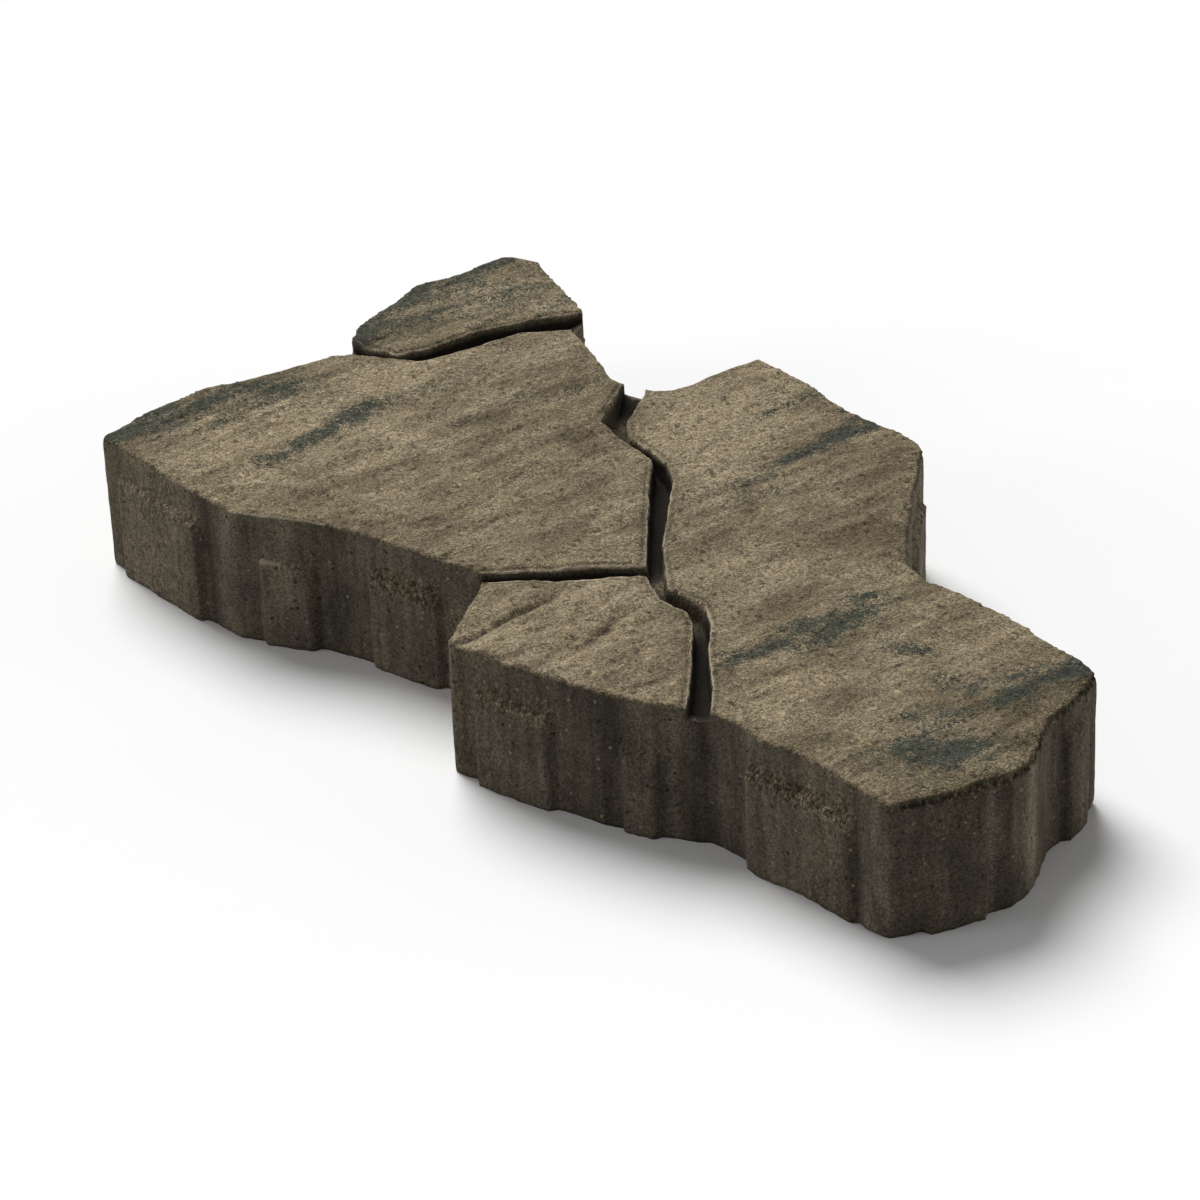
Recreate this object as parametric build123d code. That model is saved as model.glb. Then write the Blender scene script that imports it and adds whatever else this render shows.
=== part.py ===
from build123d import *
import os
from math import atan2, degrees, hypot

# Flagstone paver: one unit of dry-cast concrete, 60 mm thick. Its face is divided by
# false joints into four irregular stones, and its walls carry raised spacer panels.
# Millimetres, +Z up, origin in the middle of the base. +Y points to the small back stone.

# Driving dimensions
unit_width = 398.0       # overall, along X
unit_length = 468.0      # overall, along Y
thickness = 60.0
arris = 1.4              # worn edge round the top of every stone
joint_depth = 10.0       # false joint, from the face to its floor
joint_draft = 1.2        # how far each joint wall leans in at the floor
sill_depth = 5.0         # joint depth at its open ends
sill_flat = 5.0          # level stretch of a sill, inwards from the outline
sill_ramp = 8.0          # from the sill down to the joint floor
panel_proud = 3.0        # spacer panels stand this far out of the wall
high_top = 14.0          # depth below the face at which a high panel is at its full thickness
middle_top = 17.0        # the same for a middle panel
low_top = 22.0           # and for a low one
panel_shoulder = 4.0     # height of the sloping shoulder above a panel
cleft_steep = 1.5        # width of a cleft's steep side
cleft_gentle = 7.0       # width of its gentle side
overrun = 4.0            # cutters run this far past what they cut

# The mould's pattern: outer edges of the unit, stone by stone, going round it clockwise.
# Points are X, Y where the edge turns, and the pattern is fitted to the overall size.
main_back_left = [(-199, 75), (-182, 97), (-156, 119), (-139, 124), (-123, 132), (-103, 142), (-95, 144)]
back_outer = [
    (-95, 157), (-93, 168), (-84, 184), (-75, 196), (-68, 209), (-52, 216), (-42, 224), (-29, 234),
    (-23, 234), (-13, 228), (-5, 206), (7, 176),
]
main_back_right = [(1, 159), (6, 149), (13, 127), (18, 111), (23, 106)]
long_back = [(32, 99), (43, 98), (52, 103), (65, 113), (82, 125), (104, 95), (117, 73), (137, 53), (145, 43)]
long_right = [
    (146, 36), (137, -14), (133, -47), (132, -58), (138, -72), (149, -81), (167, -101), (182, -124),
    (199, -146),
]
long_front_right = [
    (187, -166), (177, -178), (173, -191), (170, -201), (166, -209), (159, -216), (147, -221), (131, -228),
    (112, -234),
]
long_front_left = [(104, -227), (99, -219), (92, -211), (78, -195), (67, -186), (59, -174), (49, -164)]
corner_front = [(40, -162), (8, -148), (-27, -124), (-51, -104)]
corner_left = [(-41, -72), (-38, -59)]
main_front = [(-39, -51), (-71, -29), (-89, -15), (-104, -6), (-141, 7)]
main_left = [(-163, 31)]

# Joint edges of the stones. Each starts and ends where it meets the outline.
main_to_back = [(-95, 144), (-78, 139), (-65, 135), (-51, 142), (-34, 151), (-21, 158), (1, 159)]
back_to_main = [(7, 176), (-17, 169), (-39, 163), (-63, 147), (-74, 142), (-87, 149), (-95, 157)]
main_to_long = [(23, 106), (17, 88), (12, 73), (20, 59), (33, 37), (31, 12), (28, -51)]
main_to_corner = [(6, -50), (-7, -52), (-39, -51)]
corner_to_others = [
    (-38, -59), (1, -60), (28, -58), (30, -69), (33, -78), (43, -88), (45, -95), (43, -135), (40, -162),
]
long_to_others = [
    (49, -164), (51, -147), (50, -120), (52, -99), (50, -83), (36, -69), (35, -34), (41, 20),
    (39, 33), (33, 45), (24, 59), (23, 70), (32, 99),
]

# Open ends of the joints: the two stone corners that each lies between, clockwise
joint_ends = [
    (main_back_left[-1], back_outer[0]),
    (back_outer[-1], main_back_right[0]),
    (main_back_right[-1], long_back[0]),
    (long_front_left[-1], corner_front[0]),
    (corner_left[-1], main_front[0]),
]

# Spacer panels: the wall point at the middle of each, its length along the wall, and its top
panels = [
    ((-175, 44), 58, high_top), ((-120, -1), 32, low_top), ((-70, -30), 34, middle_top),
    ((-29, -123), 44, middle_top), ((22, -155), 16, low_top),
    ((81, -200), 58, middle_top), ((138, -226), 26, high_top), ((188, -164), 18, high_top),
    ((184, -127), 22, high_top), ((158, -91), 28, middle_top), ((140, 2), 34, high_top),
    ((130, 60), 22, middle_top), ((97, 104), 28, high_top), ((63, 112), 26, middle_top),
    ((8, 143), 22, high_top), ((1, 190), 20, middle_top), ((-55, 215), 24, high_top),
    ((-83, 185), 24, middle_top), ((-137, 125), 32, high_top), ((-169, 108), 26, middle_top),
]

# Clefts in the corner stone's face: X, Y and depth at each point, steep side on the left
clefts = [
    [(-52, -110, 2.0), (-29, -91, 1.8), (-13, -76, 1.2), (-1, -64, 0.2)],
    [(-9, -127, 0.3), (7, -105, 1.5), (16, -90, 1.6), (25, -84, 0.2)],
    [(12, -148, 0.3), (27, -141, 1.2), (37, -133, 0.3)],
]

pattern = (
    main_back_left + back_outer + main_back_right + long_back + long_right + long_front_right
    + long_front_left + corner_front + corner_left + main_front + main_left
)
width_fit = unit_width / (max(x for x, y in pattern) - min(x for x, y in pattern))
length_fit = unit_length / (max(y for x, y in pattern) - min(y for x, y in pattern))
floor_height = thickness - joint_depth


def fitted(points):
    """Fit pattern points to the unit's overall width and length."""
    return [(x * width_fit, y * length_fit) for x, y in points]


def moved_out(points, distance):
    """Move each side of a clockwise polygon outwards by distance, with mitred corners."""
    moved = []
    for i, here in enumerate(points):
        before = points[i - 1]
        after = points[(i + 1) % len(points)]
        normals = []
        for start, end in ((before, here), (here, after)):
            dx = end[0] - start[0]
            dy = end[1] - start[1]
            length = hypot(dx, dy)
            normals.append((-dy / length, dx / length))
        (ax, ay), (bx, by) = normals
        share = distance / (1 + ax * bx + ay * by)
        moved.append((here[0] + (ax + bx) * share, here[1] + (ay + by) * share))
    return moved


def plate(points, height):
    """Make a flat face of the given corner points at a height."""
    return Pos(0, 0, height) * make_face(Polyline(*points, close=True))


def prism(points, bottom, top):
    """Make a straight-sided solid on a polygon between two heights."""
    return extrude(plate(points, bottom), amount=top - bottom)


def slab():
    """Make the whole unit with its worn top edge, before joints and panels."""
    block = prism(fitted(pattern), 0, thickness)
    return chamfer(block.faces().sort_by(Axis.Z)[-1].edges(), arris)


def run_out(end):
    """Return the two corners of a joint's open end, moved straight out past the outline."""
    (ax, ay), (bx, by) = fitted(end)
    length = hypot(bx - ax, by - ay)
    step_x = -(by - ay) / length * overrun
    step_y = (bx - ax) / length * overrun
    return [(ax + step_x, ay + step_y), (bx + step_x, by + step_y)]


def joint_cutter(points):
    """Make a false joint's cutter: worn arris at the top, then drafted walls to the floor."""
    bend = thickness - arris
    top = plate(moved_out(points, arris + overrun), thickness + overrun)
    middle = plate(points, bend)
    bottom = plate(moved_out(points, -joint_draft), floor_height)
    return loft([top, middle], ruled=True) + loft([middle, bottom], ruled=True)


def back_joint():
    """Cut the joint between the main stone and the back stone, open at both ends."""
    left_end, right_end = joint_ends[0], joint_ends[1]
    points = fitted(back_to_main[::-1]) + run_out(right_end) + fitted(main_to_back[::-1]) + run_out(left_end)
    return joint_cutter(points)


def forked_joint():
    """Cut the forked joint round the corner stone and along the long stone."""
    back_end, front_end, left_end = joint_ends[2:]
    points = fitted(long_to_others[::-1]) + run_out(front_end)
    points += fitted(corner_to_others[::-1]) + run_out(left_end)
    points += fitted(main_to_corner[::-1]) + fitted(main_to_long[::-1]) + run_out(back_end)
    return joint_cutter(points)


def sill(end):
    """Make the raised sill at an open end of a joint, sloping down to the floor inside."""
    (ax, ay), (bx, by) = fitted(end)
    top = thickness - sill_depth
    base = floor_height - overrun
    inner = sill_flat + sill_ramp
    section = [(-overrun, base), (-overrun, top), (sill_flat, top), (inner, floor_height), (inner, base)]
    profile = Plane.XZ * make_face(Polyline(*section, close=True))
    ramp = extrude(profile, amount=hypot(bx - ax, by - ay) / 2 + overrun, both=True)
    inwards = degrees(atan2(ax - bx, by - ay))
    return Pos((ax + bx) / 2, (ay + by) / 2, 0) * Rot(0, 0, inwards) * ramp


def nearest_side_angle(point):
    """Return the direction in degrees of the outline's side nearest to a point."""
    points = fitted(pattern)
    best = None
    for i, start in enumerate(points):
        end = points[(i + 1) % len(points)]
        dx = end[0] - start[0]
        dy = end[1] - start[1]
        share = ((point[0] - start[0]) * dx + (point[1] - start[1]) * dy) / (dx * dx + dy * dy)
        share = min(max(share, 0), 1)
        gap = hypot(point[0] - start[0] - share * dx, point[1] - start[1] - share * dy)
        if best is None or gap < best[0]:
            best = (gap, degrees(atan2(dy, dx)))
    return best[1]


def spacer_panels():
    """Make the spacer panels: proud skirts round the walls, kept only in the panels' windows."""
    points = fitted(pattern)
    proud = moved_out(points, panel_proud)
    depth = 2 * (panel_proud + overrun)
    made = Part()
    for panel_top in (high_top, middle_top, low_top):
        full_height = thickness - panel_top
        skirt = prism(proud, 0, full_height)
        shoulder = loft([plate(proud, full_height), plate(points, full_height + panel_shoulder)], ruled=True)
        windows = []
        for place, length, top in panels:
            if top == panel_top:
                middle = fitted([place])[0]
                window = Pos(0, 0, thickness / 2) * Box(length * length_fit, depth, thickness)
                windows.append(Pos(*middle, 0) * Rot(0, 0, nearest_side_angle(middle)) * window)
        made += (skirt + shoulder) & Part() + windows
    return made


def cleft(points):
    """Make the cutter of one cleft: a lopsided vee whose depth changes along its run."""
    start, end = fitted([points[0][:2], points[-1][:2]])
    along = degrees(atan2(end[1] - start[1], end[0] - start[0]))
    sections = []
    for x, y, depth in points:
        vee = [
            (-cleft_gentle, overrun), (-cleft_gentle, 0), (0, -depth), (cleft_steep, 0),
            (cleft_steep, overrun),
        ]
        face = Rot(0, 0, along) * Plane.YZ * make_face(Polyline(*vee, close=True))
        sections.append(Pos(*fitted([(x, y)])[0], thickness) * face)
    return loft(sections, ruled=True)


def paver():
    """Join the slab, its joints, their sills and the spacer panels into one solid."""
    body = slab()
    for points in clefts:
        body -= cleft(points)
    sills = (Part() + [sill(end) for end in joint_ends]) & body
    return body - back_joint() - forked_joint() + sills + spacer_panels()


os.makedirs("parts", exist_ok=True)
export_step(paver(), "parts/paver.step")
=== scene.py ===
"""Flagstone paver: the riven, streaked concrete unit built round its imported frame.

The script is laid out as an add-on and run as a script. Lengths in the shape lists are
millimetres, turned into metres by MM; everything that reaches Blender is in metres.
"""
from math import cos, radians, sin

import bpy
import numpy as np
from bpy.props import FloatProperty, FloatVectorProperty, PointerProperty
from mathutils import Matrix, Vector
from mathutils.geometry import delaunay_2d_cdt


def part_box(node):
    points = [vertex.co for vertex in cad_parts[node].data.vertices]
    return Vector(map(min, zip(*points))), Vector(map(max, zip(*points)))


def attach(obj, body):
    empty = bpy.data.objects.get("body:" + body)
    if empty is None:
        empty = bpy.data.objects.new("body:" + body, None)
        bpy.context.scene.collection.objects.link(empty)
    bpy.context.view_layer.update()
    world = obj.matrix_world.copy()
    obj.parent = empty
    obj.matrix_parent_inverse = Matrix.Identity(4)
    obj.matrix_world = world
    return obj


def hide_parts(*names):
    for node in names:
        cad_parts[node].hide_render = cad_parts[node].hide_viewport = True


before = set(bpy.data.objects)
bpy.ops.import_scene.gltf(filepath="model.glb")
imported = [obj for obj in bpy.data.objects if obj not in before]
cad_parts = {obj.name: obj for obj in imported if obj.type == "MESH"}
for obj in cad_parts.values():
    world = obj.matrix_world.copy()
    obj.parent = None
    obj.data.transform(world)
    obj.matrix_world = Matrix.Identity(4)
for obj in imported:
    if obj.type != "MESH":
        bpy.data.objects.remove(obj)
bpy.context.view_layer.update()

bl_info = {
    "name": "Flagstone Paver",
    "version": (1, 0, 0),
    "blender": (4, 5, 0),
    "location": "View3D > Sidebar > Paver",
    "description": "Builds a riven concrete flagstone unit with false joints and spacer panels",
    "category": "Add Mesh",
}

MM = 0.001
PAVER_NODE = "paver"
FACE_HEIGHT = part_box(PAVER_NODE)[1][2] / MM

# Outer edges of the unit, clockwise seen from above, as X, Y in millimetres
MAIN_FRONT = [(-39, -51), (-71, -29), (-89, -15), (-104, -6), (-141, 7)]
MAIN_LEFT = [(-163, 31), (-199, 75)]
MAIN_BACK_LEFT = [(-182, 97), (-156, 119), (-139, 124), (-123, 132), (-103, 142), (-95, 144)]
BACK_OUTER = [
    (-95, 157), (-93, 168), (-84, 184), (-75, 196), (-68, 209), (-52, 216), (-42, 224), (-29, 234),
    (-23, 234), (-13, 228), (-5, 206), (7, 176),
]
MAIN_BACK_RIGHT = [(1, 159), (6, 149), (13, 127), (18, 111), (23, 106)]
LONG_BACK = [(32, 99), (43, 98), (52, 103), (65, 113), (82, 125), (104, 95), (117, 73), (137, 53), (145, 43)]
LONG_RIGHT = [
    (146, 36), (137, -14), (133, -47), (132, -58), (138, -72), (149, -81), (167, -101), (182, -124),
    (199, -146),
]
LONG_FRONT_RIGHT = [
    (187, -166), (177, -178), (173, -191), (170, -201), (166, -209), (159, -216), (147, -221), (131, -228),
    (112, -234),
]
LONG_FRONT_LEFT = [(104, -227), (99, -219), (92, -211), (78, -195), (67, -186), (59, -174), (49, -164)]
CORNER_OUTER = [(40, -162), (8, -148), (-27, -124), (-51, -104), (-41, -72), (-38, -59)]

# Joint edges of the stones, each from where it leaves the outline to where it meets it again
MAIN_TO_BACK = [(-95, 144), (-78, 139), (-65, 135), (-51, 142), (-34, 151), (-21, 158), (1, 159)]
BACK_TO_MAIN = [(7, 176), (-17, 169), (-39, 163), (-63, 147), (-74, 142), (-87, 149), (-95, 157)]
MAIN_TO_FORK = [
    (23, 106), (17, 88), (12, 73), (20, 59), (33, 37), (31, 12), (28, -51), (6, -50), (-7, -52), (-39, -51),
]
CORNER_TO_FORK = [
    (-38, -59), (1, -60), (28, -58), (30, -69), (33, -78), (43, -88), (45, -95), (43, -135), (40, -162),
]
LONG_TO_FORK = [
    (49, -164), (51, -147), (50, -120), (52, -99), (50, -83), (36, -69), (35, -34), (41, 20),
    (39, 33), (33, 45), (24, 59), (23, 70), (32, 99),
]

# The outline as spans: the stone that each belongs to, or None across a joint's open end
OUTLINE_SPANS = [
    ("main", MAIN_FRONT + MAIN_LEFT + MAIN_BACK_LEFT),
    (None, [MAIN_BACK_LEFT[-1], BACK_OUTER[0]]),
    ("back", BACK_OUTER),
    (None, [BACK_OUTER[-1], MAIN_BACK_RIGHT[0]]),
    ("main", MAIN_BACK_RIGHT),
    (None, [MAIN_BACK_RIGHT[-1], LONG_BACK[0]]),
    ("long", LONG_BACK + LONG_RIGHT + LONG_FRONT_RIGHT + LONG_FRONT_LEFT),
    (None, [LONG_FRONT_LEFT[-1], CORNER_OUTER[0]]),
    ("corner", CORNER_OUTER),
    (None, [CORNER_OUTER[-1], MAIN_FRONT[0]]),
]
# Joint edges: points, and the open-end spans where each starts and finishes
JOINT_EDGES = {
    "main_back": (MAIN_TO_BACK, 1, 3),
    "back_main": (BACK_TO_MAIN, 3, 1),
    "main_fork": (MAIN_TO_FORK, 5, 9),
    "corner_fork": (CORNER_TO_FORK, 9, 7),
    "long_fork": (LONG_TO_FORK, 7, 5),
}
# Each stone's loop and each joint floor's loop, as outline spans and joint edges; "-" reverses one
STONES = {
    "main": [0, "main_back", 4, "main_fork"],
    "back": [2, "back_main"],
    "long": [6, "long_fork"],
    "corner": [8, "corner_fork"],
}
FLOORS = {
    "back_floor": [1, "-back_main", 3, "-main_back"],
    "fork_floor": [5, "-long_fork", 7, "-corner_fork", 9, "-main_fork"],
}

# Spacer panels: the wall point at the middle, length along the wall, depth of the full
# panel's top below the face, and how crumbly its shoulder is
PANELS = [
    ((-175, 44), 56, 13, 0.6), ((-119, -1), 24, 21, 0.3), ((-70, -30), 36, 16, 1.0),
    ((-27, -124), 38, 16, 0.7), ((22, -155), 16, 24, 0.3),
    ((81, -200), 58, 15, 1.0), ((138, -226), 26, 13, 0.3), ((188, -164), 18, 12, 0.3),
    ((184, -127), 22, 13, 0.5), ((158, -91), 28, 16, 0.8), ((140, 2), 34, 13, 0.6),
    ((130, 60), 22, 16, 0.5), ((97, 104), 28, 13, 0.8), ((63, 112), 26, 17, 0.6),
    ((8, 143), 22, 13, 0.5), ((1, 190), 20, 16, 0.7), ((-55, 215), 24, 13, 0.5),
    ((-83, 185), 24, 16, 0.9), ((-137, 125), 32, 13, 0.6), ((-169, 108), 26, 16, 0.8),
]

# Clefts in the riven faces: X, Y and depth along each, with the steep side on the left
CLEFTS = [
    ([(-52, -110, 2.0), (-29, -91, 1.8), (-13, -76, 1.2), (-1, -64, 0.2)], 1.5, 7.0),
    ([(-9, -127, 0.3), (7, -105, 1.5), (16, -90, 1.6), (25, -84, 0.2)], 1.5, 7.0),
    ([(12, -148, 0.3), (27, -141, 1.2), (37, -133, 0.3)], 1.5, 7.0),
    ([(14, -112, 0.2), (20, -106, 0.7), (28, -99, 0.1)], 1.2, 5.0),
    ([(-30, -108, 0.1), (-20, -101, 0.7), (-8, -93, 0.2)], 1.2, 5.0),
    ([(-57, 8, 0.2), (-53, 8, 0.8), (-49, 6, 0.2)], 1.0, 4.0),
    ([(-41, -18, 0.2), (-37, -14, 0.8), (-33, -11, 0.2)], 1.0, 4.0),
    ([(-56, -43, 0.6), (-52, -37, 1.0), (-47, -29, 0.2)], 1.2, 5.0),
    ([(18, 3, 0.2), (23, 6, 0.9), (28, 8, 0.3)], 1.0, 4.0),
    ([(150, -196, 0.2), (163, -181, 0.9), (172, -170, 0.2)], 1.3, 5.0),
]
# Low ridges in the faces: X, Y points, height and half width
RIDGES = [
    ([(-149, 24), (-130, 28), (-112, 24), (-92, 13), (-71, -5)], 1.4, 2.6),
    ([(-15, -24), (-3, -16)], 0.9, 3.0), ([(-53, 24), (-49, 37)], 0.8, 3.0),
    ([(-20, 30), (5, 44)], 0.6, 4.0), ([(60, -60), (92, -38)], 0.6, 5.0),
    ([(70, 40), (95, 62)], 0.6, 5.0), ([(-120, 60), (-95, 88)], 0.6, 5.0),
    ([(85, -170), (120, -150)], 0.6, 5.0), ([(-60, 180), (-25, 200)], 0.6, 4.0),
]
# Slate-coloured streaks in the faces: X, Y points, half width and strength
STREAKS = [
    ([(-126, 49), (-110, 65)], 6, 0.9), ([(-110, 65), (-105, 71), (-85, 93)], 6.5, 1.0),
    ([(-90, 88), (-70, 103), (-52, 116)], 6, 0.45),
    ([(-50, 116), (-36, 129)], 4, 0.4), ([(-33, 150), (-18, 130)], 3, 0.3),
    ([(-44, 75), (-13, 98), (14, 108)], 5, 0.3),
    ([(-192, 80), (-165, 100), (-142, 112), (-124, 116)], 12, 1.0), ([(-158, 84), (-120, 112)], 10, 0.5),
    ([(-94, 162), (-66, 207), (-30, 226)], 12, 1.0), ([(-80, 166), (-50, 180)], 8, 0.8),
    ([(-60, 185), (-10, 205)], 26, 0.42), ([(-40, 170), (-8, 180)], 7, 0.3),
    ([(65, 11), (77, 20)], 5, 0.7), ([(77, 20), (91, 33), (104, 45), (116, 55), (126, 58)], 5, 0.85),
    ([(81, 75), (93, 86), (106, 90)], 6, 0.4), ([(116, 72), (124, 66)], 6, 0.8),
    ([(45, 0), (60, 12)], 5, 0.3), ([(40, -20), (90, 10)], 4, 0.2),
    ([(111, -89), (121, -85)], 6, 0.9), ([(91, -112), (111, -99)], 8, 1.0),
    ([(82, -105), (89, -101)], 5, 0.7),
    ([(121, -199), (133, -201), (145, -196)], 13, 0.9), ([(125, -176), (150, -172)], 6, 0.55),
    ([(160, -162), (181, -152), (189, -145)], 9, 1.0), ([(57, -129), (77, -119), (98, -117)], 6, 0.7),
    ([(124, -124), (134, -127)], 5, 0.8), ([(140, -150), (160, -160)], 6, 0.5),
]
# Lighter and darker brown areas: X, Y points, half width, and tone below or above zero
TONES = [
    ([(-150, 60), (-90, 70)], 30, 0.5), ([(-70, 120), (-20, 145)], 16, 0.22),
    ([(-9, 68), (6, 53)], 9, -0.35), ([(-44, 75), (14, 110)], 7, -0.25),
    ([(-50, 190), (-15, 195)], 26, 0.3), ([(60, 60), (100, 100)], 24, 0.5),
    ([(60, 20), (60, 80)], 22, 0.3), ([(-20, -110), (10, -80)], 34, 0.3),
    ([(70, -170), (140, -130)], 20, 0.1), ([(60, -30), (110, 0)], 12, -0.12),
    ([(-90, 20), (-30, 50)], 14, -0.08), ([(120, -20), (128, 40)], 10, -0.15),
    ([(45, -75), (100, -60)], 16, 0.2), ([(-118, 96), (-70, 122)], 14, 0.5),
]
# Painted light and shade on the walls, upright lighter bands on lit facets and darker bands in shaded
# recesses: the wall point, half width, and change of tone
WALL_PAINTED_LIGHT = [
    ((-153, 20), 6, -0.5), ((-145, 12), 5, 0.35), ((-135, 5), 3, -0.3), ((-124, 1), 12, 0.15),
    ((-100, -10), 8, -0.35), ((-178, 50), 24, 0.75), ((-197, 74), 3, -0.2), ((-48, -100), 4, 0.3),
    ((-46, -108), 3, -0.35), ((-27, -124), 18, 0.1), ((-5, -140), 10, -0.35),
    ((10, -149), 9, -0.45), ((26, -156), 7, -0.05),
    ((44, -163), 8, -0.5), ((58, -175), 6, -0.3), ((62, -180), 2.5, 0.45), ((80, -200), 22, 0.1),
    ((-68, -32), 18, 0.15), ((101, -221), 4, -0.45), ((108, -229), 3.5, 0.2),
    ((118, -231), 6, -0.1), ((140, -223), 8, -0.2),
    ((152, -219), 2, 0.35), ((157, -218), 4, -0.35), ((170, -205), 5.5, 1.3), ((183, -173), 5, -0.35),
    ((193, -158), 7, 0.35), ((140, 0), 45, 0.85),
]
# Walls that are gritty all over: the wall point, half width and strength
GRITTY_WALLS = [((-178, 50), 26, 0.45), ((140, 0), 40, 0.35), ((-40, -114), 18, 0.25), ((92, -212), 14, 0.3)]

# Painted highlights on the walls, pale lines on lit edges and a lit ledge: the wall point, half width,
# the depths between which each shows, and how strong it is
PAINTED_EDGE_HIGHLIGHTS = [
    ((-52, -102), 0.9, 0.5, 57, 0.7), ((-192, 66), 0.9, 13, 52, 0.8), ((-41, -114), 0.9, 15, 50, 0.45),
    ((-126, 1), 5.5, 20.0, 22.0, 0.95),
]
# Stretches of the outline whose arris gets a painted highlight, and those whose arris is broken into crumbs
PAINTED_ARRIS_HIGHLIGHT = [(-141, 7), (-104, -6)]
CRUMBLY_ARRISES = [
    LONG_BACK[4:] + LONG_RIGHT, MAIN_LEFT[-1:] + MAIN_BACK_LEFT, BACK_OUTER, LONG_FRONT_LEFT[::-1],
    [(8, -148), (-27, -124), (-51, -104)],
]
# Places where the joints' floor and walls show brown sand: X, Y and half width
SANDY_SPOTS = [((33, -52), 7), ((47, -80), 8), ((24, 62), 8), ((42, -68), 9), ((16, 84), 10)]
# Stretches of the face's edge worn back in coarse crumbs, and how far
WORN_EDGES = [([(199, -146), *LONG_FRONT_RIGHT], 1.0), ([(145, 43), *LONG_RIGHT[:3]], 0.6)]

# Mesh: steps along the outline, in the faces, in the joints' floors and in the base, and rows of
# vertices from the arris to the depth of the sills, and from there to the base
PATH_STEP = 1.4
CAP_STEP = 1.5
FLOOR_STEP = 2.5
BASE_STEP = 12.0
BAND_ROWS = 6
WALL_ROWS = 31

# Height of a fill's rows as a share of its step, and how many places are measured at a time
ROW_SHARE = 0.866
BATCH = 4000

# Section of walls and joints, in millimetres
ARRIS_DROP = 0.7
SILL_DEPTH = 5.0
SILL_FLAT = 3.0
JOINT_DEPTH = 10.0
JOINT_DRAFT = 1.2
SILL_LENGTH = 10.0
PANEL_PROUD = 3.0
PANEL_SHOULDER = 3.0
PLAIN_TOP = 14.0

# How the face sits: its mean rise above the plane of the CAD face, the fall at its worn edge,
# the depth over which its relief and colour fade down the walls, and the corner stone's own relief
FACE_RISE = 0.8
WORN_FALL = 1.9
FACE_FADE = 7.0
CORNER_MIDDLE = (-2, -105)
CORNER_REACH = 48.0
CORNER_RELIEF = 1.15

# Camera solved from the photograph, in metres and degrees
CAMERA_PITCH = 30.232
CAMERA_ROLL = -2.294
CAMERA_DISTANCE = 1.9542
CAMERA_TARGET = (0.009, -0.025, 0.030)
FOCAL_PIXELS = 4788.4
PHOTO_PIXELS = 1200
SENSOR_WIDTH = 36.0

# Lights: where they shine from, and their width in degrees
KEY_PLACE = (-0.3, 0.75, 1.0)
KEY_SOFTNESS = 35.0
LEFT_PLACE = (-1.0, -0.15, 0.3)
RIGHT_PLACE = (1.0, -0.05, 0.3)
SIDE_SOFTNESS = 25.0
RIGHT_SHARE = 0.5

# Direction of the riven grain in the face and in its corner stone, in degrees from X
GRAIN_ANGLE = 37.0
CORNER_GRAIN_ANGLE = 54.0

# Painted shade inside the walls' pits, and how far the specks' and crumbs' outlines are bent, in metres
PIT_SHADE_COLOUR = (0.02, 0.017, 0.013, 1)
BEND = 0.0016

# The stage: half the floor's side in metres, and how much light the floor gives back
FLOOR_HALF = 6.0
FLOOR_BOUNCE = 0.3

# Odd numbers that the pseudo-random numbers are mixed with
SEED_PRIME = 374761393
CELL_PRIMES = (668265263, 2246822519, 3266489917)
MIXING_PRIME = 2654435761

# The marks that the mesh carries for its material, each 0 unless it is given
MARKS = ("face", "joint", "rough", "lip", "slate", "tone", "shade")


def hashed(cells, seed):
    """Pseudo-random numbers in 0..1 for whole-number cells, by multiplying and mixing their bits."""
    mixed = np.full(cells.shape[:-1], seed * SEED_PRIME % 2 ** 32, np.uint32)
    for axis, prime in enumerate(CELL_PRIMES):
        cell = cells[..., axis].astype(np.int64).astype(np.uint32)
        mixed = mixed ^ (cell * np.uint32(prime))
        mixed = (mixed ^ (mixed >> np.uint32(15))) * np.uint32(MIXING_PRIME)
        mixed = mixed ^ (mixed >> np.uint32(13))
    return mixed.astype(np.float64) / (2 ** 32 - 1)


def noise(places, size, seed):
    """Smooth noise in about -1..1: random slopes at the corners of cubes of the given size, blended."""
    scaled = places / size
    cells = np.floor(scaled)
    part = scaled - cells
    ease = part ** 3 * (part * (part * 6 - 15) + 10)
    total = np.zeros(len(places))
    for corner in np.ndindex(2, 2, 2):
        here = cells + corner
        slope = np.stack([hashed(here, seed * 3 + k) for k in range(3)], axis=-1) * 2 - 1
        weight = np.prod(np.where(corner, ease, 1 - ease), axis=1)
        total += weight * ((part - corner) * slope).sum(axis=1)
    return total * 1.6


def layered(places, size, seed, layers=3, gain=0.5):
    """Sum of layers of noise, each half the size and gain times the height of the last."""
    total = np.zeros(len(places))
    for layer in range(layers):
        total += noise(places, size / 2 ** layer, seed + layer) * gain ** layer
    return total


def smoothstep(low, high, value):
    """0 below low, 1 above high, with a smooth cubic between."""
    share = np.clip((value - low) / (high - low), 0, 1)
    return share * share * (3 - 2 * share)


def resampled(points, step):
    """Evenly spaced points on a run of straight lines, both ends kept."""
    points = np.array(points, float)
    lengths = np.hypot(*np.diff(points, axis=0).T)
    along = np.concatenate([[0], np.cumsum(lengths)])
    count = max(2, int(round(along[-1] / step)) + 1)
    places = np.linspace(0, along[-1], count)
    return np.stack([np.interp(places, along, points[:, axis]) for axis in range(2)], axis=1)


def softened(points, times, closed):
    """Round a path's corners by averaging each point with its neighbours, several times."""
    for _ in range(times):
        if closed:
            points = (np.roll(points, 1, axis=0) + 2 * points + np.roll(points, -1, axis=0)) / 4
        else:
            middle = (points[:-2] + 2 * points[1:-1] + points[2:]) / 4
            points = np.concatenate([points[:1], middle, points[-1:]])
    return points


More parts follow.
